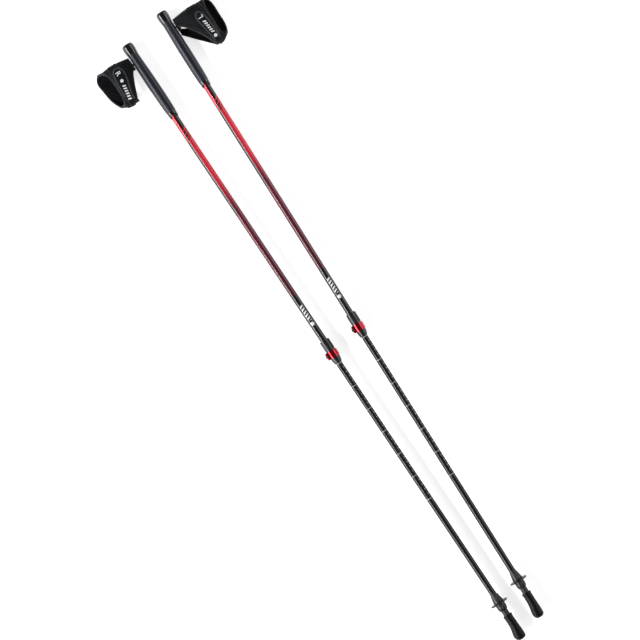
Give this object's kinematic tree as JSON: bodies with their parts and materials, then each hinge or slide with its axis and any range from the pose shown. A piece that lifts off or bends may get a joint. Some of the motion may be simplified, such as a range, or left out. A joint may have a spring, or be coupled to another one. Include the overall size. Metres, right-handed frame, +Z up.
{
  "type": "walking pole pair",
  "caption": "Pair of two-section adjustable walking poles with soft grips, detachable hand cuffs, flip-lock clamps, small baskets and rubber boots.",
  "frame": {"origin": "middle of the pair's outline, on the surface that the pair lies on", "axes": "+Z up from that surface, +Y along the poles towards the grips, +X towards the left-hand pole"},
  "size_m": [0.262, 1.3276, 0.0346],
  "materials": {
    "gloss_black": "moulded, glossy",
    "grip_soft": "soft grip compound, finely textured, satin",
    "core_plastic": "moulded, matte",
    "plug_black": "moulded, satin",
    "spring_steel": "drawn, plain",
    "carbide": "ground hard metal",
    "strap_fabric": "knit over foam, matte",
    "strap_piping": "woven edge tape, matte",
    "strap_print": "rubberised print, matte",
    "shaft_print": "red and black lacquer under a clear coat",
    "shaft_black": "black lacquer with white marks",
    "clamp_black": "moulded, satin gloss",
    "lever_red": "red anodised",
    "basket_black": "moulded, satin",
    "boot_rubber": "moulded rubber, matte"
  },
  "bodies": {
    "right_upper": {"right_head_cap": "gloss_black", "right_button_spring": "spring_steel", "right_grip_core": "core_plastic", "right_grip_cover": "grip_soft", "right_grip_collar": "gloss_black", "right_upper_shaft": "shaft_print", "right_clamp_housing": "clamp_black", "right_clamp_collet": "core_plastic", "right_lever_pin": "spring_steel", "right_tension_bolt": "spring_steel", "right_tension_washer": "spring_steel"},
    "right_lower": {"right_lower_shaft": "shaft_black", "right_shaft_end_plug": "core_plastic", "right_tip_ferrule": "core_plastic", "right_carbide_tip": "carbide"},
    "right_lever": {"right_clamp_lever": "lever_red"},
    "right_nut": {"right_tension_nut": "spring_steel"},
    "right_button": {"right_release_button": "gloss_black"},
    "right_strap": {"right_strap_plug": "plug_black", "right_strap_pin": "spring_steel", "right_strap_front_web": "strap_fabric", "right_strap_back_web": "strap_fabric", "right_strap_cuff": "strap_fabric", "right_strap_tab": "strap_fabric"},
    "right_basket": {"right_basket": "basket_black"},
    "right_boot": {"right_rubber_boot": "boot_rubber", "right_boot_washer": "spring_steel"},
    "left_upper": {"left_head_cap": "gloss_black", "left_button_spring": "spring_steel", "left_grip_core": "core_plastic", "left_grip_cover": "grip_soft", "left_grip_collar": "gloss_black", "left_upper_shaft": "shaft_print", "left_clamp_housing": "clamp_black", "left_clamp_collet": "core_plastic", "left_lever_pin": "spring_steel", "left_tension_bolt": "spring_steel", "left_tension_washer": "spring_steel"},
    "left_lower": {"left_lower_shaft": "shaft_black", "left_shaft_end_plug": "core_plastic", "left_tip_ferrule": "core_plastic", "left_carbide_tip": "carbide"},
    "left_lever": {"left_clamp_lever": "lever_red"},
    "left_nut": {"left_tension_nut": "spring_steel"},
    "left_button": {"left_release_button": "gloss_black"},
    "left_strap": {"left_strap_plug": "plug_black", "left_strap_pin": "spring_steel", "left_strap_front_web": "strap_fabric", "left_strap_back_web": "strap_fabric", "left_strap_cuff": "strap_fabric", "left_strap_tab": "strap_fabric"},
    "left_basket": {"left_basket": "basket_black"},
    "left_boot": {"left_rubber_boot": "boot_rubber", "left_boot_washer": "spring_steel"}
  },
  "joints": [
    {"name": "right_telescope", "type": "slide", "parent": "right_upper", "child": "right_lower", "axis": [-0.0134, 0.9999, -0.005], "range_m": [0, 0.5]},
    {"name": "right_lever_swing", "type": "hinge", "parent": "right_upper", "child": "right_lever", "pos_m": [-0.04534, -0.03543, 0.02176], "axis": [0.0134, -0.9999, 0.005], "range_deg": [0, 130]},
    {"name": "right_nut_turn", "type": "hinge", "parent": "right_upper", "child": "right_nut", "pos_m": [-0.04534, -0.0355, 0.00806], "axis": [0.0001, -0.005, -1], "range_deg": [-360, 360]},
    {"name": "right_button_press", "type": "slide", "parent": "right_upper", "child": "right_button", "axis": [0.0134, -0.9999, 0.005], "range_m": [0, 0.0025], "stiffness_N_per_m": 1000, "springref_m": -0.002, "deforming": ["right_button_spring"]},
    {"name": "right_strap_pull", "type": "slide", "parent": "right_upper", "child": "right_strap", "axis": [-0.9999, -0.0134, 0], "range_m": [0, 0.03]},
    {"name": "right_basket_turn", "type": "hinge", "parent": "right_lower", "child": "right_basket", "pos_m": [-0.02679, -0.58476, 0.0173], "axis": [0.0134, -0.9999, 0.005], "range_deg": [0, 360]},
    {"name": "right_boot_pull", "type": "slide", "parent": "right_lower", "child": "right_boot", "axis": [0.0134, -0.9999, 0.005], "range_m": [0, 0.05]},
    {"name": "left_telescope", "type": "slide", "parent": "left_upper", "child": "left_lower", "axis": [0.0134, 0.9999, -0.005], "range_m": [0, 0.5]},
    {"name": "left_lever_swing", "type": "hinge", "parent": "left_upper", "child": "left_lever", "pos_m": [0.02138, -0.01953, 0.02176], "axis": [-0.0134, -0.9999, 0.005], "range_deg": [0, 130]},
    {"name": "left_nut_turn", "type": "hinge", "parent": "left_upper", "child": "left_nut", "pos_m": [0.02138, -0.0196, 0.00806], "axis": [-0.0001, -0.005, -1], "range_deg": [-360, 360]},
    {"name": "left_button_press", "type": "slide", "parent": "left_upper", "child": "left_button", "axis": [-0.0134, -0.9999, 0.005], "range_m": [0, 0.0025], "stiffness_N_per_m": 1000, "springref_m": -0.002, "deforming": ["left_button_spring"]},
    {"name": "left_strap_pull", "type": "slide", "parent": "left_upper", "child": "left_strap", "axis": [0.9999, -0.0134, 0], "range_m": [0, 0.03]},
    {"name": "left_basket_turn", "type": "hinge", "parent": "left_lower", "child": "left_basket", "pos_m": [0.02523, -0.56916, 0.0173], "axis": [-0.0134, -0.9999, 0.005], "range_deg": [0, 360]},
    {"name": "left_boot_pull", "type": "slide", "parent": "left_lower", "child": "left_boot", "axis": [-0.0134, -0.9999, 0.005], "range_m": [0, 0.05]},
    {"name": "left_pole_lift", "type": "slide", "parent": "right_upper", "child": "left_upper", "axis": [0, 0, 1], "range_m": [0, 0.3]}
  ]
}
